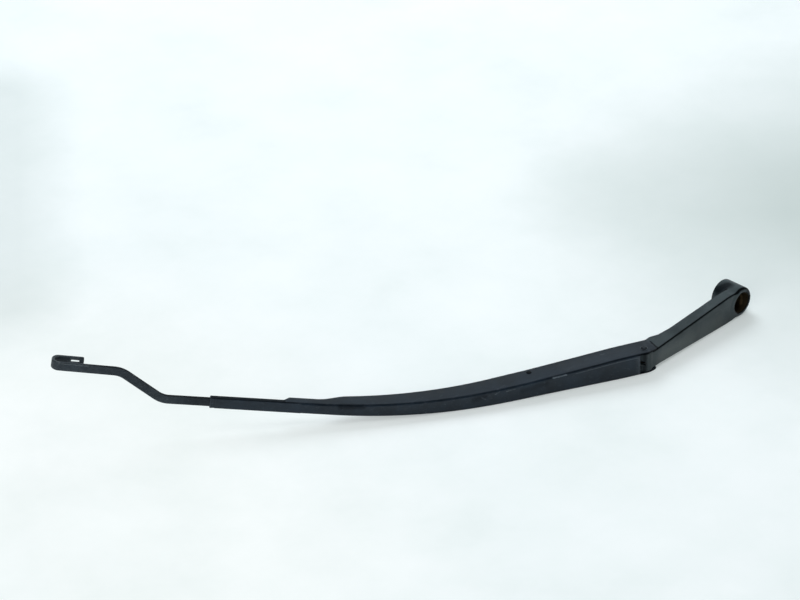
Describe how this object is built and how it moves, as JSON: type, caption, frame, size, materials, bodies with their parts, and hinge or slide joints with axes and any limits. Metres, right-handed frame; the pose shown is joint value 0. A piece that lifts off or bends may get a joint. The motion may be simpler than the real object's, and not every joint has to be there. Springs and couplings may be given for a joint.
{
  "type": "wiper arm",
  "caption": "Windscreen wiper arm: cast head with a tapered spindle seat, sprung hinge, arched sheet channel, crimped sleeve and a flat rod ending in a J hook for the blade.",
  "frame": {"origin": "on the spindle axis, at the glass side face of the round end of the head", "axes": "+Z along the spindle away from the glass, +X from the spindle to the hinge, Y along the hinge pin"},
  "size_m": [0.6269, 0.1024, 0.3427],
  "materials": {
    "head_paint": "satin charcoal coat on a cast head",
    "channel_paint": "satin charcoal coat on pressed sheet",
    "rod_paint": "satin charcoal coat on flat steel",
    "pin_paint": "satin charcoal coat over a riveted pin",
    "pin_steel": "ground steel",
    "bush_bronze": "sintered bronze",
    "link_steel": "zinc plated stamped steel",
    "spring_steel": "zinc plated spring wire"
  },
  "bodies": {
    "head": {"mounting_head": "head_paint", "hinge_bush_a": "bush_bronze", "hinge_bush_b": "bush_bronze", "spring_pin": "pin_steel"},
    "arm": {"retainer_channel": "channel_paint", "hinge_pin": "pin_paint", "anchor_pin": "pin_paint", "wiper_rod": "rod_paint"},
    "link": {"spring_link": "link_steel", "tension_spring": "spring_steel"}
  },
  "joints": [
    {"name": "arm_lift", "type": "hinge", "parent": "head", "child": "arm", "pos_m": [0.1407, 0, 0.0201], "axis": [0, -1, 0], "range_deg": [0, 70], "stiffness_Nm_per_rad": 1.5, "springref_deg": -68.75},
    {"name": "link_swing", "type": "hinge", "parent": "head", "child": "link", "pos_m": [0.1302, 0, 0.0118], "axis": [0, -1, 0], "range_deg": [0, 65], "deforming": ["tension_spring"]}
  ],
  "couplings": [
    {"joint": "link_swing", "follows": "arm_lift", "ratio": 0.915}
  ]
}
